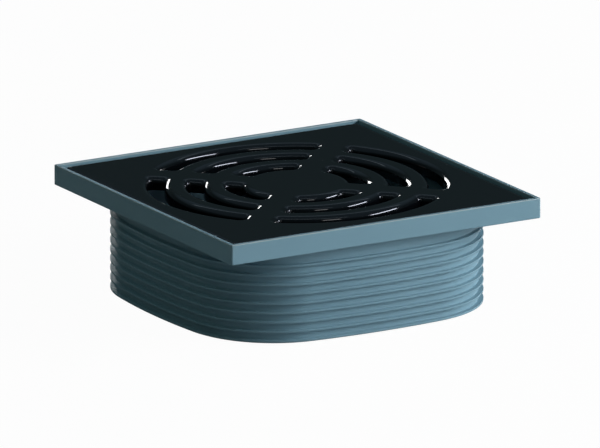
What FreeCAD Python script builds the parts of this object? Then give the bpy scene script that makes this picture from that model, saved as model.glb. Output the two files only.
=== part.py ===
# Square floor drain top: a moulded frame with a ribbed riser, and a slotted cover lying in its tray.
# Millimetres, +Z up. The origin is the middle of the riser's lower end, X and Y run along the frame's sides.

import FreeCAD, Part
import Sketcher
import math
import os

# Driving dimensions
DIMENSIONS = [
    ("frameSide", 150.0, "outside of the frame, along each side"),
    ("frameHeight", 8.7, "outside height of the frame"),
    ("frameCorner", 0.9, "radius of the frame's upright corners"),
    ("rimWidth", 1.85, "width of the rim round the tray"),
    ("trayFloor", 2.5, "thickness of the tray's floor"),
    ("riserDepth", 40.7, "length of the riser below the frame"),
    ("riserAcross", 138.4, "riser across its sides, between the ribs"),
    ("riserBow", 305.0, "radius of the riser's bowed sides"),
    ("riserCorner", 40.6, "radius of the riser's corners"),
    ("riserWall", 3.0, "wall of the riser, between the ribs"),
    ("ribPitch", 4.06, "step from one rib to the next"),
    ("ribHeight", 0.9, "how far a rib stands out from the wall"),
    ("ribLedge", 0.3, "height of the short slope above a rib's crest"),
    ("lowestRib", 1.7, "from the riser's end up to the crest of the lowest rib"),
    ("coverGap", 0.9, "clearance between the cover and the rim"),
    ("coverDrop", 0.6, "how far the cover's top lies below the rim"),
    ("coverCorner", 2.6, "radius of the cover's upright corners"),
    ("coverRound", 2.2, "radius of the cover's upper edge"),
    ("slotRadius", 26.3, "radius of the first row of slots, at mid width"),
    ("slotStep", 16.45, "step from one row of slots to the next"),
    ("slotWidth", 7.0, "clear width of a slot"),
    ("slotEnd", 7.1, "from a slot's end to the cover's diagonal"),
    ("slotBevel", 1.2, "cut across a slot's corners"),
    ("lipSlope", 1.9, "width and depth of the sloping lip round a slot"),
]

# Sizes worked out from them
DERIVED = [
    ("traySide", "frameSide - 2 * rimWidth", "inside of the rim"),
    ("floorLevel", "riserDepth + trayFloor", "level of the tray's floor"),
    ("coverSide", "traySide - 2 * coverGap", "outside of the cover"),
    ("coverHeight", "frameHeight - trayFloor - coverDrop", "height of the cover on the tray's floor"),
    ("coverTop", "floorLevel + coverHeight", "level of the cover's top"),
    ("bowAxis", "riserBow - riserAcross / 2", "from the middle to the axis of a bowed side"),
    (
        "cornerAxis",
        "(sqrt(2 * (riserBow - riserCorner)^2 - bowAxis^2) - bowAxis) / 2",
        "from the middle to the axis of a corner, along X and along Y",
    ),
    ("bowHalf", "atan2(cornerAxis; cornerAxis + bowAxis)", "half of the angle that a bowed side spans"),
]

SLOT_ROWS = 3
QUARTERS = 4
CLOSE = 1e-6

doc = FreeCAD.newDocument("floorDrainTop")


def fill_sheet():
    """Writes the sizes to the document's sheet and returns their values by name."""
    sheet = doc.addObject("Spreadsheet::Sheet", "sizes")
    rows = [(alias, str(number), note) for alias, number, note in DIMENSIONS]
    rows += [(alias, "=" + formula, note) for alias, formula, note in DERIVED]
    for row, (alias, content, note) in enumerate(rows, 1):
        sheet.set("A%d" % row, alias)
        sheet.set("B%d" % row, content)
        sheet.set("C%d" % row, note)
        sheet.setAlias("B%d" % row, alias)
    doc.recompute()
    values = {alias: getattr(sheet, alias) for alias, content, note in rows}
    return {alias: getattr(value, "Value", value) for alias, value in values.items()}


size = fill_sheet()


def vector(x, y, z=0.0):
    return FreeCAD.Vector(x, y, z)


def origin_feature(body, role):
    return next(feature for feature in body.Origin.OriginFeatures if feature.Role == role)


def new_body(name):
    body = doc.addObject("PartDesign::Body", name)
    body.Label = name
    return body


def new_sketch(body, name, role, level=None):
    """A sketch on one of the body's own origin planes, lifted to a level where one is given."""
    sketch = body.newObject("Sketcher::SketchObject", name)
    sketch.AttachmentSupport = (origin_feature(body, role), [""])
    sketch.MapMode = "FlatFace"
    if level:
        sketch.setExpression("AttachmentOffset.Base.z", level)
    return sketch


def new_feature(body, kind, name, **settings):
    """A feature at the end of a body: settings that name a size are bound to it, the others are set."""
    feature = body.newObject("PartDesign::" + kind, name)
    for key, value in settings.items():
        if isinstance(value, str) and "sizes." in value:
            feature.setExpression(key, value)
        else:
            setattr(feature, key, value)
    doc.recompute()
    return feature


def bind(sketch, formula, *constraint):
    """Adds a constraint whose value follows a formula of the sheet's sizes."""
    index = sketch.addConstraint(Sketcher.Constraint(*constraint))
    sketch.setExpression("Constraints[%d]" % index, formula)


def tie(sketch, *constraint):
    """Adds a constraint that has no size."""
    sketch.addConstraint(Sketcher.Constraint(*constraint))


def turn_about_middle(body, name, features):
    """Repeats features four times about the body's upright axis."""
    axis = (origin_feature(body, "Z_Axis"), [""])
    pattern = new_feature(body, "PolarPattern", name, Originals=features, Axis=axis, Occurrences=QUARTERS)
    body.Tip = pattern
    doc.recompute()
    return pattern


def edges_where(feature, test):
    return ["Edge%d" % number for number, edge in enumerate(feature.Shape.Edges, 1) if test(edge)]


def is_upright(edge):
    box = edge.BoundBox
    return box.XLength < CLOSE and box.YLength < CLOSE


def is_on_cover_top(edge):
    box = edge.BoundBox
    return abs(box.ZMin - size["coverTop"]) < CLOSE and box.ZLength < CLOSE


def is_slot_mouth(edge):
    box = edge.BoundBox
    reach = max(abs(box.XMin), abs(box.XMax), abs(box.YMin), abs(box.YMax))
    flat = size["coverSide"] / 2 - size["coverRound"]
    return is_on_cover_top(edge) and reach < flat - CLOSE


def sketch_square(sketch, side, formula):
    """A square about the sketch's origin."""
    half = side / 2
    corners = [vector(-half, -half), vector(half, -half), vector(half, half), vector(-half, half)]
    for i in range(4):
        sketch.addGeometry(Part.LineSegment(corners[i], corners[(i + 1) % 4]), False)
    for i in range(4):
        tie(sketch, "Coincident", i, 2, (i + 1) % 4, 1)
    for i in (0, 2):
        tie(sketch, "Horizontal", i)
        tie(sketch, "Vertical", i + 1)
    tie(sketch, "Symmetric", 0, 1, 1, 2, -1, 1)
    bind(sketch, formula, "DistanceX", 0, 1, 0, 2, side)
    bind(sketch, formula, "DistanceY", 1, 1, 1, 2, side)


def arc_about(centre, radius, middle, half):
    return Part.ArcOfCircle(Part.Circle(centre, vector(0, 0, 1), radius), middle - half, middle + half)


def sketch_bowed_square(sketch):
    """The riser's inside: four bowed sides that run smoothly into four corners."""
    bow = size["riserBow"] - size["riserWall"]
    corner = size["riserCorner"] - size["riserWall"]
    half = math.radians(size["bowHalf"])
    axis = size["bowAxis"]
    reach = size["cornerAxis"] * math.sqrt(2)
    for quarter in range(QUARTERS):
        side = quarter * math.pi / 2
        diagonal = side + math.pi / 4
        bow_centre = vector(-axis * math.cos(side), -axis * math.sin(side))
        corner_centre = vector(reach * math.cos(diagonal), reach * math.sin(diagonal))
        sketch.addGeometry(arc_about(bow_centre, bow, side, half), False)
        sketch.addGeometry(arc_about(corner_centre, corner, diagonal, math.pi / 4 - half), False)
    for i in range(8):
        tie(sketch, "Tangent", i, 2, (i + 1) % 8, 1)
    for i in (0, 4):
        tie(sketch, "PointOnObject", i, 3, -1)
        tie(sketch, "PointOnObject", i + 2, 3, -2)
    for i in (2, 4, 6):
        tie(sketch, "Equal", 0, i)
        tie(sketch, "Equal", 1, i + 1)
    bind(sketch, "sizes.riserBow - sizes.riserWall", "Radius", 0, bow)
    bind(sketch, "sizes.riserCorner - sizes.riserWall", "Radius", 1, corner)
    bind(sketch, "sizes.bowAxis", "DistanceX", 0, 3, -1, 1, axis)
    bind(sketch, "sizes.bowAxis", "DistanceY", 2, 3, -1, 1, axis)
    bind(sketch, "sizes.bowAxis", "DistanceX", -1, 1, 4, 3, axis)
    bind(sketch, "sizes.bowAxis", "DistanceY", -1, 1, 6, 3, axis)


def sketch_ribbed_wall(sketch, radius, formula):
    """The riser's wall, cut through: plain inside, ribbed outside, at a radius from the sketch's upright axis.

    Each rib has a short ledge above its crest and a long slope below it, down to the next rib's ledge.
    The lowest rib slopes to the riser's end, and the wall above the last ledge is plain.
    """
    top = size["riserDepth"]
    inside = radius - size["riserWall"]
    room = top - size["lowestRib"] - size["ribLedge"] - CLOSE
    corners = [vector(radius, 0.0)]
    places = []
    for rib in range(int(room / size["ribPitch"]) + 1):
        crest = size["lowestRib"] + rib * size["ribPitch"]
        level = "sizes.lowestRib + %d * sizes.ribPitch" % rib
        corners += [vector(radius + size["ribHeight"], crest), vector(radius, crest + size["ribLedge"])]
        places += [(formula + " + sizes.ribHeight", level), (formula, level + " + sizes.ribLedge")]
    corners += [vector(radius, top), vector(inside, top), vector(inside, 0.0)]
    count = len(corners)
    for i in range(count):
        sketch.addGeometry(Part.LineSegment(corners[i], corners[(i + 1) % count]), False)
    for i in range(count):
        tie(sketch, "Coincident", i, 2, (i + 1) % count, 1)

    plain, head, inner, foot = range(count - 4, count)
    bind(sketch, formula, "DistanceX", -1, 1, 0, 1, radius)
    tie(sketch, "PointOnObject", 0, 1, -1)
    for line, (across, level) in enumerate(places, 1):
        bind(sketch, across, "DistanceX", -1, 1, line, 1, corners[line].x)
        bind(sketch, level, "DistanceY", -1, 1, line, 1, corners[line].y)
    tie(sketch, "Vertical", plain)
    tie(sketch, "Horizontal", head)
    tie(sketch, "Vertical", inner)
    tie(sketch, "Horizontal", foot)
    bind(sketch, formula + " - sizes.riserWall", "DistanceX", -1, 1, foot, 1, inside)
    bind(sketch, "sizes.riserDepth", "DistanceY", inner, 2, inner, 1, top)


def sketch_slot(sketch, row):
    """One curved slot about +X, its ends parallel to the cover's diagonals and its corners cut across."""
    middle = size["slotRadius"] + row * size["slotStep"]
    outer = middle + size["slotWidth"] / 2
    inner = middle - size["slotWidth"] / 2
    end = size["slotEnd"]
    bevel = size["slotBevel"]

    def place(off, reach, side):
        # the point at a distance from the diagonal and from the middle, above or below the axis
        along = math.sqrt(reach ** 2 - off ** 2)
        return vector((along + off) * math.sqrt(0.5), side * (along - off) * math.sqrt(0.5))

    def end_points(side):
        places = [(end + bevel, outer), (end, outer - bevel), (end, inner + bevel), (end + bevel, inner)]
        return [place(off, reach, side) for off, reach in places]

    upper, lower = end_points(1), end_points(-1)
    first = sketch.GeometryCount
    outer_arc, upper_end, inner_arc, lower_end = first, first + 2, first + 4, first + 6
    sketch.addGeometry(Part.Arc(lower[0], vector(outer, 0), upper[0]), False)
    for i in range(3):
        sketch.addGeometry(Part.LineSegment(upper[i], upper[i + 1]), False)
    sketch.addGeometry(Part.Arc(lower[3], vector(inner, 0), upper[3]), False)
    for i in (3, 2, 1):
        sketch.addGeometry(Part.LineSegment(lower[i], lower[i - 1]), False)

    for i in range(8):
        # the inner arc runs against the way round, so it is joined at its other ends
        tail = 1 if first + i == inner_arc else 2
        start = 2 if first + (i + 1) % 8 == inner_arc else 1
        tie(sketch, "Coincident", first + i, tail, first + (i + 1) % 8, start)
    middle_formula = "sizes.slotRadius + %d * sizes.slotStep" % row
    outer_formula = middle_formula + " + sizes.slotWidth / 2"
    inner_formula = middle_formula + " - sizes.slotWidth / 2"
    tie(sketch, "Coincident", outer_arc, 3, -1, 1)
    tie(sketch, "Coincident", inner_arc, 3, -1, 1)
    bind(sketch, outer_formula, "Radius", outer_arc, outer)
    bind(sketch, inner_formula, "Radius", inner_arc, inner)
    tie(sketch, "Angle", upper_end, math.radians(-135))
    tie(sketch, "Angle", lower_end, math.radians(-45))
    for line, far, near, arc_end in ((upper_end, 1, 2, 2), (lower_end, 2, 1, 1)):
        bind(sketch, "sizes.slotEnd", "Distance", -1, 1, line, end)
        bind(sketch, outer_formula + " - sizes.slotBevel", "Distance", line, far, -1, 1, outer - bevel)
        bind(sketch, inner_formula + " + sizes.slotBevel", "Distance", line, near, -1, 1, inner + bevel)
        bind(sketch, "sizes.slotBevel", "Distance", outer_arc, arc_end, line, bevel)
        bind(sketch, "sizes.slotBevel", "Distance", inner_arc, arc_end, line, bevel)


# Frame and riser, one moulding
frame = new_body("frame_riser")

frame_plan = new_sketch(frame, "framePlan", "XY_Plane", "sizes.riserDepth")
sketch_square(frame_plan, size["frameSide"], "sizes.frameSide")
frame_block = new_feature(frame, "Pad", "frameBlock", Profile=frame_plan, Length="sizes.frameHeight")

upright = edges_where(frame_block, is_upright)
new_feature(frame, "Fillet", "frameCorners", Base=(frame_block, upright), Radius="sizes.frameCorner")

tray_plan = new_sketch(frame, "trayPlan", "XY_Plane", "sizes.floorLevel")
sketch_square(tray_plan, size["traySide"], "sizes.traySide")
tray = new_feature(frame, "Pocket", "tray", Profile=tray_plan, Type="ThroughAll", Reversed=True)

# The way down through the tray's floor, flush with the inside of the riser
drain_plan = new_sketch(frame, "drainPlan", "XY_Plane", "sizes.riserDepth")
sketch_bowed_square(drain_plan)
drain = new_feature(frame, "Pocket", "drain", Profile=drain_plan, Type="ThroughAll", Reversed=True)

# The ribbed wall, turned about the axis of a bowed side and about the axis of a corner
side_section = new_sketch(frame, "sideSection", "XZ_Plane")
side_section.setExpression("AttachmentOffset.Base.x", "-sizes.bowAxis")
sketch_ribbed_wall(side_section, size["riserBow"], "sizes.riserBow")
riser_side = new_feature(
    frame,
    "Revolution",
    "riserSide",
    Profile=side_section,
    ReferenceAxis=(side_section, ["V_Axis"]),
    Midplane=True,
    Angle="2 * sizes.bowHalf",
)

corner_section = new_sketch(frame, "cornerSection", "XZ_Plane")
corner_section.AttachmentOffset = FreeCAD.Placement(vector(0, 0), FreeCAD.Rotation(vector(0, 1), 45))
corner_section.setExpression("AttachmentOffset.Base.x", "sizes.cornerAxis")
corner_section.setExpression("AttachmentOffset.Base.z", "-sizes.cornerAxis")
sketch_ribbed_wall(corner_section, size["riserCorner"], "sizes.riserCorner")
riser_corner = new_feature(
    frame,
    "Revolution",
    "riserCornerWall",
    Profile=corner_section,
    ReferenceAxis=(corner_section, ["V_Axis"]),
    Midplane=True,
    Angle="90 deg - 2 * sizes.bowHalf",
)
turn_about_middle(frame, "riser", [riser_side, riser_corner])

# Cover, a plate that lies on the tray's floor
cover = new_body("slotted_cover")

cover_plan = new_sketch(cover, "coverPlan", "XY_Plane", "sizes.floorLevel")
sketch_square(cover_plan, size["coverSide"], "sizes.coverSide")
cover_block = new_feature(cover, "Pad", "coverBlock", Profile=cover_plan, Length="sizes.coverHeight")

upright = edges_where(cover_block, is_upright)
cover_corners = new_feature(
    cover, "Fillet", "coverCorners", Base=(cover_block, upright), Radius="sizes.coverCorner"
)
upper = edges_where(cover_corners, is_on_cover_top)
new_feature(cover, "Fillet", "coverEdge", Base=(cover_corners, upper), Radius="sizes.coverRound")

# Four groups of curved slots, with a sloping lip round each
slot_plan = new_sketch(cover, "slotPlan", "XY_Plane", "sizes.coverTop")
for row in range(SLOT_ROWS):
    sketch_slot(slot_plan, row)
slots = new_feature(cover, "Pocket", "slots", Profile=slot_plan, Type="ThroughAll")
slot_groups = turn_about_middle(cover, "slotGroups", [slots])

mouths = edges_where(slot_groups, is_slot_mouth)
lips = new_feature(cover, "Chamfer", "lips", Base=(slot_groups, mouths), Size="sizes.lipSlope")


def check_model():
    """Stops if a feature failed, a cut took nothing away or a sub-part isn't one valid solid."""
    failed = [part.Name for part in doc.Objects if "Invalid" in part.State or "Error" in part.State]
    if failed:
        raise RuntimeError("failed: " + ", ".join(failed))
    for cut in (tray, drain, slots, lips):
        if cut.Shape.Volume > cut.BaseFeature.Shape.Volume - CLOSE:
            raise RuntimeError(cut.Name + " takes nothing away")
    for body in (frame, cover):
        if body.Shape.isNull() or not body.Shape.isValid() or len(body.Shape.Solids) != 1:
            raise RuntimeError(body.Label + " isn't one valid solid")


check_model()
os.makedirs("parts", exist_ok=True)
for body in (frame, cover):
    body.Shape.exportStep("parts/%s.step" % body.Label)
    print(body.Label, "volume %.0f mm3" % body.Shape.Volume)
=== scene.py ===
import math

import bmesh
import bpy
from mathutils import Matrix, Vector


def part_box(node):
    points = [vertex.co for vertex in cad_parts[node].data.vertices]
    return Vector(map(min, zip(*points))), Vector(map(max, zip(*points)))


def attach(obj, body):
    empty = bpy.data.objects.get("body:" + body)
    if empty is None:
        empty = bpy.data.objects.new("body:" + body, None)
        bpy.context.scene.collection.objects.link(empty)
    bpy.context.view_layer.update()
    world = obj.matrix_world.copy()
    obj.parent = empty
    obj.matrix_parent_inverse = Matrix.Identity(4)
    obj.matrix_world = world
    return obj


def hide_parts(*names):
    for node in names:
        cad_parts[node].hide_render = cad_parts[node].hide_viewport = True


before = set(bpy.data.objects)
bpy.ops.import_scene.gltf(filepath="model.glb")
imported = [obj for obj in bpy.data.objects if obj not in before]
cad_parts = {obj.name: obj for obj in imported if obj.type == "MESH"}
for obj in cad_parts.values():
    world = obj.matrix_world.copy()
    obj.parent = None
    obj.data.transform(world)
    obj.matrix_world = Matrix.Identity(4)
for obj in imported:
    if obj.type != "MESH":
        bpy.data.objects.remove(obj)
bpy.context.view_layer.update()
mm = 0.001
print("frame loaded:", sorted(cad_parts))


# Small helpers for node trees

def newTree(name, inputs):
    tree = bpy.data.node_groups.new(name, "GeometryNodeTree")
    for label, kind in inputs:
        tree.interface.new_socket(name=label, in_out="INPUT", socket_type="NodeSocket" + kind)
    tree.interface.new_socket(name="Geometry", in_out="OUTPUT", socket_type="NodeSocketGeometry")
    return tree, tree.nodes.new("NodeGroupInput").outputs


# A node with its settings, its inputs wired to sockets or set to plain values
def addNode(tree, kind, wires=None, **settings):
    node = tree.nodes.new(kind)
    for key, value in settings.items():
        setattr(node, key, value)
    for key, value in (wires or {}).items():
        for single in value if isinstance(value, list) else [value]:
            if isinstance(single, bpy.types.NodeSocket):
                tree.links.new(single, node.inputs[key])
            else:
                node.inputs[key].default_value = single
    return node


def calc(tree, operation, first, second=0.0):
    return addNode(tree, "ShaderNodeMath", {0: first, 1: second}, operation=operation).outputs[0]


def calcVector(tree, operation, first, second=(0, 0, 0)):
    return addNode(tree, "ShaderNodeVectorMath", {0: first, 1: second}, operation=operation)


def spot(tree, x=0.0, y=0.0, z=0.0):
    return addNode(tree, "ShaderNodeCombineXYZ", {0: x, 1: y, 2: z}).outputs[0]


def endTree(tree, geometry, material):
    solid = addNode(tree, "GeometryNodeRealizeInstances", {"Geometry": geometry})
    dressed = addNode(tree, "GeometryNodeSetMaterial", {"Geometry": solid.outputs[0], "Material": material})
    addNode(tree, "NodeGroupOutput", {"Geometry": dressed.outputs[0]})


# Runs a tree on an object and gives back the plain mesh that comes out
def growMesh(host, tree, values):
    modifier = host.modifiers.new("grow", "NODES")
    modifier.node_group = tree
    for item in tree.interface.items_tree:
        if item.in_out == "INPUT" and item.name in values:
            modifier[item.identifier] = values[item.name]
    bpy.context.view_layer.update()
    ready = host.evaluated_get(bpy.context.evaluated_depsgraph_get())
    mesh = bpy.data.meshes.new_from_object(ready)
    host.modifiers.remove(modifier)
    return mesh


# Outlines in plan

samePlace = 0.0001 * mm         # places closer than this are one
straightHandle = 1 / 3          # where a Bezier handle lies on a straight run


def unit(angle):
    return Vector((math.cos(angle), math.sin(angle)))


def atLevel(place, level):
    return Vector((place.x, place.y, level))


# Bezier knots for a closed row of arcs (middle, radius, start, end), each with the handles that its arcs give
def arcKnots(arcs):
    knots = []
    for middle, radius, start, end in arcs:
        reach = radius * 4 / 3 * math.tan((end - start) / 4)
        leave = middle + radius * unit(start)
        arrive = middle + radius * unit(end)
        if not knots or (knots[-1]["at"] - leave).length > samePlace:
            knots.append({"at": leave, "before": None, "after": None})
        knots[-1]["after"] = leave + reach * unit(start + math.pi / 2)
        before = arrive - reach * unit(end + math.pi / 2)
        knots.append({"at": arrive, "before": before, "after": None})
    if (knots[-1]["at"] - knots[0]["at"]).length < samePlace:
        knots[0]["before"] = knots.pop()["before"]
    return knots


# Closed outlines from arcs, with straight runs between arcs that do not meet
def drawArcs(name, outlines, level, steps):
    data = bpy.data.curves.new(name, "CURVE")
    data.dimensions = "3D"
    for arcs in outlines:
        knots = arcKnots(arcs)
        spline = data.splines.new("BEZIER")
        spline.bezier_points.add(len(knots) - 1)
        spline.use_cyclic_u = True
        spline.resolution_u = steps
        for place, knot in enumerate(knots):
            onward = knots[(place + 1) % len(knots)]["at"]
            back = knots[place - 1]["at"]
            before = knot["before"] or knot["at"].lerp(back, straightHandle)
            after = knot["after"] or knot["at"].lerp(onward, straightHandle)
            point = spline.bezier_points[place]
            point.handle_left_type = "FREE"
            point.handle_right_type = "FREE"
            point.co = atLevel(knot["at"], level)
            point.handle_left = atLevel(before, level)
            point.handle_right = atLevel(after, level)
    outline = bpy.data.objects.new(name, data)
    bpy.context.scene.collection.objects.link(outline)
    return outline


def drawLine(name, points, closed):
    data = bpy.data.curves.new(name, "CURVE")
    data.dimensions = "3D"
    spline = data.splines.new("POLY")
    spline.points.add(len(points) - 1)
    spline.use_cyclic_u = closed
    for point, place in zip(spline.points, points):
        point.co = place.to_4d()
    line = bpy.data.objects.new(name, data)
    bpy.context.scene.collection.objects.link(line)
    return line


def dropHelpers(*helpers):
    for helper in helpers:
        bpy.data.objects.remove(helper)


# One ring of a square with round corners: on each quarter a side and then a corner, with the same steps
def squareRing(half, corner, level, steps):
    points = []
    for quarter in range(4):
        turn = quarter * math.pi / 2
        for step in range(steps):
            along = (half - corner) * (2 * step / steps - 1)
            points.append(unit(turn) * half + unit(turn + math.pi / 2) * along)
        middle = (unit(turn) + unit(turn + math.pi / 2)) * (half - corner)
        for step in range(steps):
            points.append(middle + corner * unit(turn + math.pi / 2 * step / steps))
    return [atLevel(point, level) for point in points]


# A section's square corners rounded off, each given as (across, level, radius); a row of points beside
# each round, at the lead's share of its radius from the corner, keeps the shading of the flats flat
def roundSection(corners, steps, lead=1.6):
    places = [Vector((across, level)) for across, level, radius in corners]
    radii = [radius for across, level, radius in corners]
    section = [places[0]]
    for before, here, after, radius in zip(places, places[1:], places[2:], radii[1:]):
        back = (before - here).normalized()
        onward = (after - here).normalized()
        middle = here + (back + onward) * radius
        section.append(here + back * radius * lead)
        for step in range(steps + 1):
            angle = math.pi / 2 * step / steps
            section.append(middle - onward * radius * math.cos(angle) - back * radius * math.sin(angle))
        section.append(here + onward * radius * lead)
    return section + [places[-1]]


# The vertices at one level in order round the middle, from the one that lies at the first place
def ringAt(shape, level, first, levelSlack=0.002 * mm, turnSlack=0.001):
    ring = [vertex for vertex in shape.verts if abs(vertex.co.z - level) < levelSlack]
    start = math.atan2(first.y, first.x) - turnSlack
    return sorted(ring, key=lambda vertex: (math.atan2(vertex.co.y, vertex.co.x) - start) % (2 * math.pi))


# A band of faces between two rings with as many vertices
def stitch(shape, ring, nextRing):
    count = len(ring)
    for place in range(count):
        following = (place + 1) % count
        shape.faces.new((ring[place], ring[following], nextRing[following], nextRing[place]))


def addRings(shape, first, rings, last):
    previous = first
    for ring in rings:
        current = [shape.verts.new(place) for place in ring]
        stitch(shape, previous, current)
        previous = current
    stitch(shape, previous, last)


# How sharply the surface turns outwards at each vertex above the lowest level, from 0 to 1, in an
# attribute that the materials read
def markEdges(shape, fullTurn, lowest):
    layer = shape.verts.layers.float.new("edge")
    for vertex in shape.verts:
        turns = [edge.calc_face_angle_signed(0.0) for edge in vertex.link_edges]
        if vertex.co.z > lowest and turns:
            vertex[layer] = min(max(max(turns) / fullTurn, 0.0), 1.0)


def finishPiece(name, mesh, material, sharp=math.radians(32)):
    mesh.name = name
    mesh.materials.clear()
    mesh.materials.append(material)
    mesh.shade_smooth()
    mesh.set_sharp_from_angle(angle=sharp)
    piece = bpy.data.objects.new(name, mesh)
    bpy.context.scene.collection.objects.link(piece)
    print(name, "triangles", sum(len(face.vertices) - 2 for face in mesh.polygons))
    return piece


# Shader helpers

def newMaterial(name):
    material = bpy.data.materials.new(name)
    material.use_nodes = True
    return material, material.node_tree


def newGroup(name, inputs, outputs):
    group = bpy.data.node_groups.new(name, "ShaderNodeTree")
    for label in inputs:
        group.interface.new_socket(name=label, in_out="INPUT", socket_type="NodeSocketFloat")
    for label in outputs:
        group.interface.new_socket(name=label, in_out="OUTPUT", socket_type="NodeSocketFloat")
    return group, group.nodes.new("NodeGroupInput").outputs


# A value between 0 and 1 spread from low to high
def spread(tree, value, low, high):
    spreading = addNode(tree, "ShaderNodeMapRange", {"Value": value, "To Min": low, "To Max": high})
    return spreading.outputs["Result"]


# The share of a value on its way from low to high, between 0 and 1
def shareOf(tree, value, low, high):
    sharing = addNode(tree, "ShaderNodeMapRange", {"Value": value, "From Min": low, "From Max": high})
    return sharing.outputs["Result"]


# A mix node's colour sockets have the same names as its other ones, so they are taken by their numbers
def blend(tree, share, first, second):
    return addNode(tree, "ShaderNodeMix", {0: share, 6: first, 7: second}, data_type="RGBA").outputs[2]


def mixShaders(tree, share, first, second):
    return addNode(tree, "ShaderNodeMixShader", {0: share, 1: first, 2: second}).outputs[0]


def useGroup(tree, group, values):
    return addNode(tree, "ShaderNodeGroup", values, node_tree=group).outputs


def addNoise(tree, place, scale, detail):
    noise = addNode(tree, "ShaderNodeTexNoise", {"Vector": place, "Scale": scale, "Detail": detail})
    return noise.outputs["Fac"]


# Moulded plastic: fine grain and soft waves for the bump, slow clouds for colour and gloss

mouldedLook = {
    "grainDetail": 2.0,
    "waveDetail": 1.0,
    "cloudDetail": 4.0,
    "grainShare": 0.4,          # height of the grain against the waves
}


def makeMouldedSurface(look):
    scales = ("Grain Scale", "Wave Scale", "Cloud Scale")
    group, given = newGroup("mouldedSurface", scales, ("Height", "Clouds"))
    place = addNode(group, "ShaderNodeTexCoord").outputs["Object"]
    grain = addNoise(group, place, given["Grain Scale"], look["grainDetail"])
    waves = addNoise(group, place, given["Wave Scale"], look["waveDetail"])
    clouds = addNoise(group, place, given["Cloud Scale"], look["cloudDetail"])
    height = calc(group, "ADD", calc(group, "MULTIPLY", grain, look["grainShare"]), waves)
    addNode(group, "NodeGroupOutput", {"Height": height, "Clouds": clouds})
    return group


# Edge wear and painted highlight: the edge attribute, broken up by noise, lightens the convex edges for wear
# and for the light that rounded edges catch

wearAndHighlightLook = {
    "detail": 3.0,
    "breakup": (0.6, 1.4),      # how much the noise takes from the wear and painted highlight and adds to them
}


def makeEdgeWearAndHighlight(look):
    group, given = newGroup("edgeWearAndHighlight", ("Edge", "Breakup Scale", "Amount"), ("Mask",))
    place = addNode(group, "ShaderNodeTexCoord").outputs["Object"]
    noise = addNoise(group, place, given["Breakup Scale"], look["detail"])
    broken = calc(group, "MULTIPLY", given["Edge"], spread(group, noise, *look["breakup"]))
    mask = calc(group, "MINIMUM", calc(group, "MULTIPLY", broken, given["Amount"]), 1.0)
    addNode(group, "NodeGroupOutput", {"Mask": mask})
    return group


mouldedSurface = makeMouldedSurface(mouldedLook)
edgeWearAndHighlight = makeEdgeWearAndHighlight(wearAndHighlightLook)


# Grey-blue plastic of the frame and riser

framePlasticLook = {
    "dark": (0.168, 0.300, 0.374, 1),
    "light": (0.186, 0.324, 0.400, 1),
    # lighter edge colour and its amount: wear, and a painted highlight along the rims' edges
    "wornAndHighlit": (0.36, 0.44, 0.46, 1),
    "wearAndHighlight": 0.9,
    "wearAndHighlightScale": 300.0,
    "grainScale": 2600.0,
    "waveScale": 420.0,
    "cloudScale": 38.0,
    "rough": (0.42, 0.52),
    "wornRough": 0.55,
    "bump": 0.10,
    "bumpDepth": 0.05 * mm,
    "specular": 0.30,
}


# Black gloss plastic of the cover

coverPlasticLook = {
    "dark": (0.0014, 0.0020, 0.0030, 1),
    "light": (0.0020, 0.0028, 0.0040, 1),
    # lighter edge colour and its amount: wear, and a painted highlight along the edges
    "wornAndHighlit": (0.0035, 0.0045, 0.0060, 1),
    "wearAndHighlight": 0.5,
    "wearAndHighlightScale": 220.0,
    "grainScale": 1400.0,
    "waveScale": 160.0,
    "cloudScale": 24.0,
    "rough": (0.05, 0.08),
    "wornRough": 0.10,
    "bump": 0.02,
    "bumpDepth": 0.05 * mm,
    "specular": 0.50,
}


def dressPlastic(name, look):
    material, tree = newMaterial(name)
    shader = tree.nodes["Principled BSDF"]
    shader.inputs["Specular IOR Level"].default_value = look["specular"]
    surface = useGroup(tree, mouldedSurface, {
        "Grain Scale": look["grainScale"],
        "Wave Scale": look["waveScale"],
        "Cloud Scale": look["cloudScale"]})
    edge = addNode(tree, "ShaderNodeAttribute", attribute_name="edge").outputs["Fac"]
    wornAndHighlit = useGroup(tree, edgeWearAndHighlight, {
        "Edge": edge, "Breakup Scale": look["wearAndHighlightScale"], "Amount": look["wearAndHighlight"]})["Mask"]
    moulded = blend(tree, surface["Clouds"], look["dark"], look["light"])
    # the moulded colour turns to the lighter edge colour on the edges: wear and a painted highlight
    tree.links.new(blend(tree, wornAndHighlit, moulded, look["wornAndHighlit"]), shader.inputs["Base Color"])
    rough = spread(tree, surface["Clouds"], *look["rough"])
    rough = addNode(tree, "ShaderNodeMix", {"Factor": wornAndHighlit, "A": rough, "B": look["wornRough"]})
    tree.links.new(rough.outputs["Result"], shader.inputs["Roughness"])
    bump = addNode(tree, "ShaderNodeBump", {
        "Height": surface["Height"], "Strength": look["bump"], "Distance": look["bumpDepth"]})
    tree.links.new(bump.outputs["Normal"], shader.inputs["Normal"])
    return material


framePlastic = dressPlastic("framePlastic", framePlasticLook)
coverPlastic = dressPlastic("coverPlastic", coverPlasticLook)
print("materials made")


# Frame with ribbed riser

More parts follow.
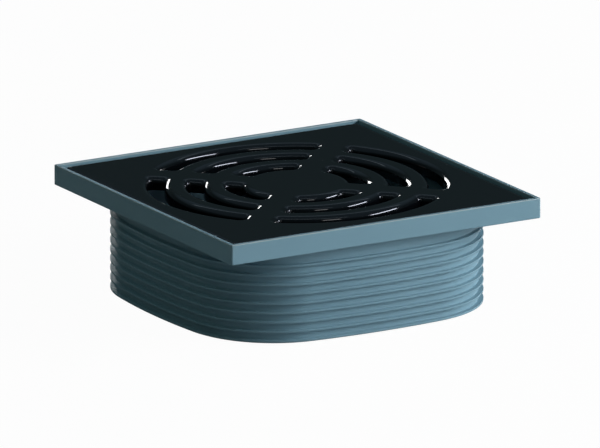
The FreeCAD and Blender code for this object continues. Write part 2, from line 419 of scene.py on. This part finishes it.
riserSizes = {
    "across": 138.4 * mm,       # outline that ribs stand out from and grooves lie inside, at mid-side
    "bowRadius": 305 * mm,
    "cornerRadius": 40.6 * mm,
    "wall": 3.0 * mm,           # from the outline to the passage
    "ribCount": 9,              # above them the wall is plain
    "ribPitch": 4.06 * mm,
    "ribHeight": 0.9 * mm,
    "ribTaper": 0.06 * mm,      # how far a rib's outer face draws in towards its lower edge
    "ribFace": 0.90 * mm,
    "ribLedge": 0.04 * mm,      # fall of the ledge above the face
    "ribUnder": 0.08 * mm,      # fall of the step below it
    "ribRound": 0.13 * mm,
    "groove": 1.2 * mm,         # how far the wall between the ribs lies inside the outline
    "roundSteps": 3,
    "lowestRib": 1.65 * mm,     # ledge of the lowest rib above the riser's end
    "outlineSteps": 32,         # on each side and on each corner
    "edge": 0.3 * mm,
    "weld": 0.005 * mm,         # joins the ends of neighbouring rib sections
}

frameSizes = {
    "height": 8.7 * mm,
    "corner": 0.9 * mm,
    "innerCorner": 0.35 * mm,
    "rim": 1.85 * mm,
    "trayFloor": 2.5 * mm,
    "edge": 0.3 * mm,
    "trayFillet": 0.4 * mm,
    "flat": 2 * mm,             # flat strip beside an edge, on the underside and on the tray's floor
    "roundSteps": 4,
    "fullEdgeTurn": 0.30,           # turn from face to face, in radians, that counts as a full edge
}


# The bowed square: eight arcs that run into each other
def bowedArcs(sizes):
    bowAxis = sizes["bowRadius"] - sizes["across"] / 2
    cornerDrop = sizes["bowRadius"] - sizes["cornerRadius"]
    tilt = math.asin(bowAxis / (cornerDrop * math.sqrt(2)))
    bowHalf = math.pi / 4 - tilt
    cornerAxis = cornerDrop * math.sin(bowHalf)
    arcs = []
    for quarter in range(4):
        turn = quarter * math.pi / 2
        diagonal = (unit(turn) + unit(turn + math.pi / 2)) * cornerAxis
        arcs.append((unit(turn) * -bowAxis, sizes["bowRadius"], turn - bowHalf, turn + bowHalf))
        arcs.append((diagonal, sizes["cornerRadius"], turn + bowHalf, turn + math.pi / 2 - bowHalf))
    return arcs


# The same outline as one ring of points, moved out or in
def bowedRing(arcs, offset, level, steps):
    points = []
    for middle, radius, start, end in arcs:
        for step in range(steps):
            point = middle + (radius + offset) * unit(start + (end - start) * step / steps)
            points.append(atLevel(point, level))
    return points


# Ribs: one rib's section set down the riser again and again, swept round the outline
def ribTree():
    tree, given = newTree("riserRibs", [
        ("Outline", "Geometry"), ("Rib", "Object"), ("Rib Count", "Int"), ("Rib Pitch", "Float"),
        ("Rib Round", "Float"), ("Round Steps", "Int"), ("First Rib", "Float"), ("Weld", "Float"),
        ("Material", "Material")])
    starts = addNode(tree, "GeometryNodeMeshLine", {
        "Count": given["Rib Count"], "Start Location": spot(tree, 0.0, given["First Rib"]),
        "Offset": spot(tree, 0.0, given["Rib Pitch"])})
    rib = addNode(tree, "GeometryNodeObjectInfo", {"Object": given["Rib"]}).outputs["Geometry"]
    rib = addNode(tree, "GeometryNodeFilletCurve", {
        "Curve": rib, "Radius": given["Rib Round"], "Count": given["Round Steps"],
        "Limit Radius": True}, mode="POLY")
    ribs = addNode(tree, "GeometryNodeInstanceOnPoints", {
        "Points": starts.outputs[0], "Instance": rib.outputs[0]})
    sections = addNode(tree, "GeometryNodeRealizeInstances", {"Geometry": ribs.outputs[0]})
    upright = addNode(tree, "GeometryNodeSetCurveNormal", {"Curve": given["Outline"]}, mode="Z_UP")
    swept = addNode(tree, "GeometryNodeCurveToMesh", {
        "Curve": upright.outputs[0], "Profile Curve": sections.outputs[0]})
    joined = addNode(tree, "GeometryNodeMergeByDistance", {
        "Geometry": swept.outputs[0], "Distance": given["Weld"]})
    endTree(tree, joined.outputs[0], given["Material"])
    return tree


# One pitch of the riser's wall, as places out from the outline and down the wall
def ribSection(sizes):
    crest = sizes["ribPitch"] - sizes["lowestRib"]
    lowerEdge = crest + sizes["ribFace"]
    height = sizes["ribHeight"]
    wall = -sizes["groove"]
    places = [
        (wall, 0),
        (wall, crest - sizes["ribLedge"]),
        (height, crest),
        (height - sizes["ribTaper"], lowerEdge),
        (wall, lowerEdge + sizes["ribUnder"]),
        (wall, sizes["ribPitch"])]
    return drawLine("ribSection", [Vector((out, down, 0)) for out, down in places], False)


# The frame's rings: out along the underside, up and over the rim, and down to the tray's floor
def frameRings(sizes, half, underside, top, steps):
    trayHalf = half - sizes["rim"]
    floor = underside + sizes["trayFloor"]
    section = roundSection([
        (half - sizes["flat"], underside, 0),
        (half, underside, sizes["edge"]),
        (half, top, sizes["edge"]),
        (trayHalf, top, sizes["edge"]),
        (trayHalf, floor, sizes["trayFillet"]),
        (trayHalf - sizes["flat"], floor, 0)], sizes["roundSteps"])
    rings = []
    for across, level in section:
        corner = max(sizes["corner"] - (half - across), sizes["innerCorner"])
        rings.append(squareRing(across, corner, level, steps))
    return rings


# The passage's rings, from the tray's floor down to the riser's end, as distances out from its outline
def passageRings(riser, sizes, arcs, floor, end):
    section = roundSection([
        (sizes["flat"] - riser["wall"], floor, 0),
        (-riser["wall"], floor, riser["edge"]),
        (-riser["wall"], end, riser["edge"]),
        (-riser["groove"] - riser["edge"], end, 0)], sizes["roundSteps"])
    return [bowedRing(arcs, offset, level, riser["outlineSteps"]) for offset, level in section[1:]]


def growRibs(riser, arcs, underside, plain):
    outline = drawArcs("riserOutline", [arcs], underside, riser["outlineSteps"])
    rib = ribSection(riser)
    mesh = growMesh(outline, ribTree(), {
        "Rib": rib, "Rib Count": riser["ribCount"], "Rib Pitch": riser["ribPitch"],
        "Rib Round": riser["ribRound"], "Round Steps": riser["roundSteps"], "First Rib": plain,
        "Weld": riser["weld"], "Material": framePlastic})
    dropHelpers(outline, rib)
    return mesh


def makeFrameRiser(riser, sizes):
    low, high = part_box("frame_riser")
    steps = riser["outlineSteps"]
    half = (high.x - low.x) / 2
    underside = high.z - sizes["height"]
    floor = underside + sizes["trayFloor"]
    plain = underside - low.z - riser["ribCount"] * riser["ribPitch"]
    arcs = bowedArcs(riser)
    mesh = growRibs(riser, arcs, underside, plain)
    shape = bmesh.new()
    shape.from_mesh(mesh)
    neck = bowedRing(arcs, -riser["groove"], underside, steps)
    top = ringAt(shape, underside - plain, neck[0])
    bottom = ringAt(shape, low.z, neck[0])
    print("rib rings", len(neck), len(top), len(bottom))
    rings = [neck]
    rings += frameRings(sizes, half, underside, high.z, steps)
    rings += passageRings(riser, sizes, arcs, floor, low.z)
    addRings(shape, top, rings, bottom)
    bmesh.ops.recalc_face_normals(shape, faces=shape.faces)
    markEdges(shape, sizes["fullEdgeTurn"], floor)
    shape.to_mesh(mesh)
    shape.free()
    return finishPiece("frameRiser", mesh, framePlastic)


frameRiser = makeFrameRiser(riserSizes, frameSizes)
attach(frameRiser, "root")
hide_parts("frame_riser")


# Slotted cover

coverSizes = {
    "corner": 2.6 * mm,
    "round": 2.2 * mm,          # of the upper edge
    "topInset": 4.4 * mm,       # from the side to the flat of the face
    "innerCorner": 1.0 * mm,
    "edge": 0.3 * mm,
    "flat": 1 * mm,             # flat strip beside the edge of the underside
    "roundSteps": 8,
    "outlineSteps": 12,
    "fullEdgeTurn": 0.40,           # turn from face to face, in radians, that counts as a full edge
    "edgesAbove": 1 * mm,        # from the underside, where the lighter edges of wear and painted highlight begin
    "weld": 0.002 * mm,
}

slotSizes = {
    "quarters": 4,
    "rows": 3,                  # in each quarter
    "radius": 26.3 * mm,        # middle of the innermost slot
    "step": 16.45 * mm,
    "width": 7.0 * mm,
    "endWall": 7.1 * mm,        # from the diagonal to the slot's end
    "corner": 1.6 * mm,
    "lip": 2.85 * mm,
    "land": 0.2 * mm,           # flat strip round each lip
    "lipSteps": 12,
    "outlineSteps": 20,
    "levelSlack": 0.01 * mm,    # finds the lips' lower ends
}


# One slot about the X axis, at the outer edge of its land: two arcs about the middle and four round corners
def slotArcs(sizes, row):
    grow = sizes["lip"] + sizes["land"]
    middleRadius = sizes["radius"] + row * sizes["step"]
    near = middleRadius - sizes["width"] / 2
    far = middleRadius + sizes["width"] / 2
    corner = sizes["corner"]
    offDiagonal = sizes["endWall"] + corner
    nearTurn = math.pi / 4 - math.asin(offDiagonal / (near + corner))
    farTurn = math.pi / 4 - math.asin(offDiagonal / (far - corner))
    nearMiddle = [(near + corner) * unit(side * nearTurn) for side in (1, -1)]
    farMiddle = [(far - corner) * unit(side * farTurn) for side in (1, -1)]
    origin = Vector((0, 0))
    wide = corner + grow
    square = 3 * math.pi / 4    # square to the diagonal
    return [
        (origin, far + grow, -farTurn, farTurn),
        (farMiddle[0], wide, farTurn, square),
        (nearMiddle[0], wide, square, math.pi + nearTurn),
        (origin, near - grow, nearTurn, -nearTurn),
        (nearMiddle[1], wide, math.pi - nearTurn, 2 * math.pi - square),
        (farMiddle[1], wide, 2 * math.pi - square, 2 * math.pi - farTurn)]


# Plate: a quarter's slots turned round four times, a lip swept along each, and the flats filled in between
def plateTree():
    tree, given = newTree("slottedPlate", [
        ("Slots", "Geometry"), ("Top Edge", "Object"), ("Under Edge", "Object"), ("Quarters", "Int"),
        ("Lip", "Float"), ("Land", "Float"), ("Plate", "Float"), ("Lip Steps", "Int"), ("Top", "Float"),
        ("Level Slack", "Float"), ("Material", "Material")])
    hubs = addNode(tree, "GeometryNodeMeshLine", {"Count": given["Quarters"], "Offset": (0, 0, 0)})
    number = addNode(tree, "GeometryNodeInputIndex").outputs[0]
    share = calc(tree, "DIVIDE", 2 * math.pi, given["Quarters"])
    turned = addNode(tree, "GeometryNodeInstanceOnPoints", {
        "Points": hubs.outputs[0], "Instance": given["Slots"],
        "Rotation": spot(tree, 0.0, 0.0, calc(tree, "MULTIPLY", number, share))})
    slots = addNode(tree, "GeometryNodeRealizeInstances", {"Geometry": turned.outputs[0]}).outputs[0]
    slots = addNode(tree, "GeometryNodeResampleCurve", {"Curve": slots}, mode="EVALUATED").outputs[0]

    # The section has the land's outer point, the points round the lip and one at the underside
    points = calc(tree, "ADD", given["Lip Steps"], 3.0)
    line = addNode(tree, "GeometryNodeMeshLine", {"Count": points, "Offset": (0, 0, 0)})
    section = addNode(tree, "GeometryNodeMeshToCurve", {"Mesh": line.outputs[0]})
    bend = calc(tree, "DIVIDE", calc(tree, "SUBTRACT", number, 1.0), given["Lip Steps"])
    bend = calc(tree, "MINIMUM", calc(tree, "MAXIMUM", bend, 0.0), 1.0)
    angle = calc(tree, "MULTIPLY", bend, math.pi / 2)
    land = calc(tree, "MULTIPLY", calc(tree, "MINIMUM", number, 1.0), given["Land"])
    inward = calc(tree, "ADD", land, calc(tree, "MULTIPLY", calc(tree, "SINE", angle), given["Lip"]))
    fall = calc(tree, "MULTIPLY", calc(tree, "SUBTRACT", 1.0, calc(tree, "COSINE", angle)), given["Lip"])
    last = calc(tree, "GREATER_THAN", number, calc(tree, "ADD", given["Lip Steps"], 1.5))
    straight = calc(tree, "SUBTRACT", given["Plate"], given["Lip"])
    fall = calc(tree, "ADD", fall, calc(tree, "MULTIPLY", last, straight))
    shaped = addNode(tree, "GeometryNodeSetPosition", {
        "Geometry": section.outputs[0],
        "Position": spot(tree, calc(tree, "MULTIPLY", inward, -1.0), fall)})
    upright = addNode(tree, "GeometryNodeSetCurveNormal", {"Curve": slots}, mode="Z_UP")
    lips = addNode(tree, "GeometryNodeCurveToMesh", {
        "Curve": upright.outputs[0], "Profile Curve": shaped.outputs[0]}).outputs[0]

    topEdge = addNode(tree, "GeometryNodeObjectInfo", {"Object": given["Top Edge"]})
    topLoops = addNode(tree, "GeometryNodeJoinGeometry", {0: [topEdge.outputs["Geometry"], slots]})
    topFlat = addNode(tree, "GeometryNodeFillCurve", {"Curve": topLoops.outputs[0]}, mode="TRIANGLES")
    topFlat = addNode(tree, "GeometryNodeTransform", {
        "Geometry": topFlat.outputs[0], "Translation": spot(tree, 0.0, 0.0, given["Top"])})

    # The lips' lower edges, open on one side, bound the flat of the underside
    under = calc(tree, "SUBTRACT", given["Top"], given["Plate"])
    place = addNode(tree, "GeometryNodeInputPosition").outputs[0]
    height = addNode(tree, "ShaderNodeSeparateXYZ", {0: place}).outputs[2]
    neighbours = addNode(tree, "GeometryNodeInputMeshEdgeNeighbors").outputs[0]
    isOpen = calc(tree, "LESS_THAN", neighbours, 1.5)
    isLow = calc(tree, "LESS_THAN", height, calc(tree, "ADD", under, given["Level Slack"]))
    mouths = addNode(tree, "GeometryNodeMeshToCurve", {
        "Mesh": lips, "Selection": calc(tree, "MULTIPLY", isOpen, isLow)})
    underEdge = addNode(tree, "GeometryNodeObjectInfo", {"Object": given["Under Edge"]})
    underLoops = addNode(tree, "GeometryNodeJoinGeometry", {
        0: [underEdge.outputs["Geometry"], mouths.outputs[0]]})
    underFlat = addNode(tree, "GeometryNodeFillCurve", {"Curve": underLoops.outputs[0]}, mode="TRIANGLES")
    underFlat = addNode(tree, "GeometryNodeFlipFaces", {"Mesh": underFlat.outputs[0]})
    underFlat = addNode(tree, "GeometryNodeTransform", {
        "Geometry": underFlat.outputs[0], "Translation": spot(tree, 0.0, 0.0, under)})

    pieces = addNode(tree, "GeometryNodeJoinGeometry", {0: [lips, topFlat.outputs[0], underFlat.outputs[0]]})
    endTree(tree, pieces.outputs[0], given["Material"])
    return tree


def makeCover(sizes, slots):
    low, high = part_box("slotted_cover")
    half = (high.x - low.x) / 2
    section = roundSection([
        (half - sizes["topInset"], high.z, 0),
        (half, high.z, sizes["round"]),
        (half, low.z, sizes["edge"]),
        (half - sizes["flat"], low.z, 0)], sizes["roundSteps"])
    rings = []
    for across, level in section:
        corner = max(sizes["corner"] - (half - across), sizes["innerCorner"])
        rings.append(squareRing(across, corner, level, sizes["outlineSteps"]))
    topEdge = drawLine("topEdge", rings[0], True)
    underEdge = drawLine("underEdge", rings[-1], True)
    arcs = [slotArcs(slots, row) for row in range(slots["rows"])]
    outline = drawArcs("slotOutlines", arcs, high.z, slots["outlineSteps"])
    mesh = growMesh(outline, plateTree(), {
        "Top Edge": topEdge, "Under Edge": underEdge, "Quarters": slots["quarters"], "Lip": slots["lip"],
        "Land": slots["land"], "Plate": high.z - low.z, "Lip Steps": slots["lipSteps"], "Top": high.z,
        "Level Slack": slots["levelSlack"], "Material": coverPlastic})
    dropHelpers(outline, topEdge, underEdge)
    shape = bmesh.new()
    shape.from_mesh(mesh)
    first = [shape.verts.new(place) for place in rings[0]]
    last = [shape.verts.new(place) for place in rings[-1]]
    addRings(shape, first, rings[1:-1], last)
    bmesh.ops.remove_doubles(shape, verts=shape.verts, dist=sizes["weld"])
    bmesh.ops.recalc_face_normals(shape, faces=shape.faces)
    print("cover open edges", sum(1 for edge in shape.edges if not edge.is_manifold))
    markEdges(shape, sizes["fullEdgeTurn"], low.z + sizes["edgesAbove"])
    shape.to_mesh(mesh)
    shape.free()
    return finishPiece("slottedCover", mesh, coverPlastic)


slottedCover = makeCover(coverSizes, slotSizes)
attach(slottedCover, "root")
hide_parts("slotted_cover")


# Floor

floorLook = {
    "side": 30.0,                        # metres
    "bounce": (0.24, 0.24, 0.24, 1),     # what lights the object from below
    "pale": (0.80, 0.80, 0.80, 1),       # what takes the shadow
    "white": 0.97,                       # share of plain white in the picture, the rest keeps the shadow
    "mirrored": 0.04,                    # the same share in reflections
    "gap": 0.05 * mm,                    # between the floor and the riser's end
    "drain": (0.010, 0.012, 0.014, 1),   # painted shade of the opening under the riser
    "drainSide": 28.6 * mm,              # half of its straight sides
    "drainCorner": 37.0 * mm,            # radius of its corners
}


# Inside a square with round corners about the middle of the floor
def drainMask(tree, look):
    straight = (look["drainSide"], look["drainSide"], 1)
    place = addNode(tree, "ShaderNodeTexCoord").outputs["Object"]
    past = calcVector(tree, "ABSOLUTE", place).outputs["Vector"]
    past = calcVector(tree, "SUBTRACT", past, straight).outputs["Vector"]
    past = calcVector(tree, "MAXIMUM", past).outputs["Vector"]
    return calc(tree, "LESS_THAN", calcVector(tree, "LENGTH", past).outputs["Value"], look["drainCorner"])


# White to the camera with a trace of the shadow, dim in reflections and grey to the light that it throws
# back; painted shade where the drain opens, and clear from below
def makeFloorMaterial(look):
    material, tree = newMaterial("studioFloor")
    tree.nodes.clear()
    path = addNode(tree, "ShaderNodeLightPath").outputs
    mirrored = calc(tree, "MAXIMUM", path["Is Glossy Ray"], path["Is Transmission Ray"])
    seen = calc(tree, "MAXIMUM", path["Is Camera Ray"], mirrored)
    share = spread(tree, path["Is Camera Ray"], look["mirrored"], look["white"])
    bounce = addNode(tree, "ShaderNodeBsdfDiffuse", {"Color": look["bounce"]}).outputs[0]
    pale = addNode(tree, "ShaderNodeBsdfDiffuse", {"Color": look["pale"]}).outputs[0]
    white = addNode(tree, "ShaderNodeEmission", {"Strength": 1.0}).outputs[0]
    drain = addNode(tree, "ShaderNodeBsdfDiffuse", {"Color": look["drain"]}).outputs[0]
    clear = addNode(tree, "ShaderNodeBsdfTransparent").outputs[0]
    below = addNode(tree, "ShaderNodeNewGeometry").outputs["Backfacing"]
    surface = mixShaders(tree, seen, bounce, mixShaders(tree, share, pale, white))
    # a dark patch of painted shade inside the riser's footprint
    surface = mixShaders(tree, drainMask(tree, look), surface, drain)
    surface = mixShaders(tree, below, surface, clear)
    addNode(tree, "ShaderNodeOutputMaterial", {"Surface": surface})
    return material


def makeFloor(look):
    half = look["side"] / 2
    level = -look["gap"]
    corners = [(-half, -half, level), (half, -half, level), (half, half, level), (-half, half, level)]
    mesh = bpy.data.meshes.new("studioFloor")
    mesh.from_pydata(corners, [], [(0, 1, 2, 3)])
    mesh.materials.append(makeFloorMaterial(look))
    floor = bpy.data.objects.new("studioFloor", mesh)
    bpy.context.scene.collection.objects.link(floor)
    return floor


makeFloor(floorLook)


# Light: a soft lamp from the front right and dim fills round the object have no sheen, so that no surface
# mirrors them; strips, a patch and panels have no glow, so that they are seen in reflections alone

lamps = {
    "softRight": {"azimuth": -36, "elevation": 22, "size": (0.90, 0.50), "power": 14.2, "sheen": False},
    "lowFront": {"azimuth": -58, "elevation": 4, "size": (1.20, 0.30), "power": 3.7, "sheen": False},
    "fillLeft": {
        "azimuth": 175, "elevation": 42, "size": (2.00, 1.40), "power": 1.3, "sheen": False,
        "color": (0.95, 1.0, 0.60)},
    "fillBack": {"azimuth": 62, "elevation": 3, "size": (0.70, 0.30), "power": 4.5, "sheen": False},
    "stripRight": {
        "azimuth": -35, "elevation": 25, "size": (0.60, 0.12), "power": 6.5, "glow": False,
        "color": (0.82, 0.86, 1.0)},
    "stripAbove": {
        "azimuth": -120, "elevation": 64, "size": (1.60, 0.05), "power": 0.55, "glow": False,
        "color": (0.75, 0.90, 1.0)},
    "stripBack": {
        "azimuth": 60, "elevation": 52, "size": (1.80, 0.08), "power": 0.45, "glow": False,
        "color": (0.75, 0.90, 1.0)},
    "patchFront": {"azimuth": -88, "elevation": 30, "size": (0.30, 0.14), "power": 0.53, "glow": False},
    "panelBehind": {"azimuth": 75, "elevation": 6, "size": (0.38, 0.22), "power": 1.7, "glow": False},
    "panelFar": {"azimuth": 17, "elevation": 6, "size": (0.30, 0.22), "power": 2.0, "glow": False},
}
lampDistance = 1.2              # metres from the top of the cover

skyLook = {
    "low": (0.030, 0.047, 0.052, 1),
    "high": (0.115, 0.172, 0.215, 1),
    "rise": (0.36, 0.58),       # sine of the height above the horizon, from the low colour to the high one
    "back": (0.5, 0.866, 0),    # away from the camera
    "near": (-0.70, -0.48),     # share of that direction over which the high colour comes in
    "shown": (1, 1, 1, 1),      # what the camera sees past the floor
}


def towards(azimuth, elevation):
    level = unit(math.radians(azimuth)) * math.cos(math.radians(elevation))
    return Vector((level.x, level.y, math.sin(math.radians(elevation))))


def addLamp(name, settings):
    data = bpy.data.lights.new(name, "AREA")
    data.shape = "RECTANGLE"
    data.size, data.size_y = settings["size"]
    data.energy = settings["power"]
    data.color = settings.get("color", (1, 1, 1))
    direction = towards(settings["azimuth"], settings["elevation"])
    lamp = bpy.data.objects.new(name, data)
    lamp.location = direction * lampDistance + Vector((0, 0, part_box("slotted_cover")[1].z))
    lamp.rotation_euler = direction.to_track_quat("Z", "Y").to_euler()
    lamp.visible_glossy = settings.get("sheen", True)
    lamp.visible_diffuse = settings.get("glow", True)
    bpy.context.scene.collection.objects.link(lamp)


def addSky(look):
    world = bpy.data.worlds.new("studioSky")
    world.use_nodes = True
    tree = world.node_tree
    place = addNode(tree, "ShaderNodeTexCoord").outputs["Generated"]
    height = addNode(tree, "ShaderNodeSeparateXYZ", {0: place}).outputs[2]
    facing = calcVector(tree, "DOT_PRODUCT", place, look["back"]).outputs["Value"]
    raised = shareOf(tree, height, *look["rise"])
    behind = shareOf(tree, facing, *look["near"])
    color = blend(tree, calc(tree, "MULTIPLY", raised, behind), look["low"], look["high"])
    shown = blend(tree, addNode(tree, "ShaderNodeLightPath").outputs["Is Camera Ray"], color, look["shown"])
    tree.links.new(shown, tree.nodes["Background"].inputs["Color"])
    bpy.context.scene.world = world


for lampName, lampSettings in lamps.items():
    addLamp(lampName, lampSettings)
addSky(skyLook)
print("light set")


# Camera, as in the photograph: far away, so that edges stay nearly parallel

view = {
    "azimuth": -30.25,
    "elevation": 15.28,
    "away": 8.0,                # metres
    "width": 0.25250,           # what the picture is wide, at the object
    "right": 0.00143,           # aim, from the middle of the rim's top
    "up": -0.01803,
    "sensor": 36.0,             # in millimetres, as the lens is
    "clip": 100.0,
}


def addCamera(settings):
    turn = math.radians(settings["azimuth"])
    rise = math.radians(settings["elevation"])
    back = Vector((math.sin(turn) * math.cos(rise), -math.cos(turn) * math.cos(rise), math.sin(rise)))
    turned = back.to_track_quat("Z", "Y")
    rimTop = Vector((0, 0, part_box("frame_riser")[1].z))
    aim = rimTop + turned @ Vector((settings["right"], settings["up"], 0))
    data = bpy.data.cameras.new("photoView")
    data.sensor_width = settings["sensor"]
    data.lens = settings["sensor"] * settings["away"] / settings["width"]
    data.clip_end = settings["clip"]
    camera = bpy.data.objects.new("photoView", data)
    camera.location = aim + back * settings["away"]
    camera.rotation_euler = turned.to_euler()
    bpy.context.scene.collection.objects.link(camera)
    bpy.context.scene.camera = camera


addCamera(view)
bpy.context.scene.view_settings.view_transform = "Standard"

print("scene ready")
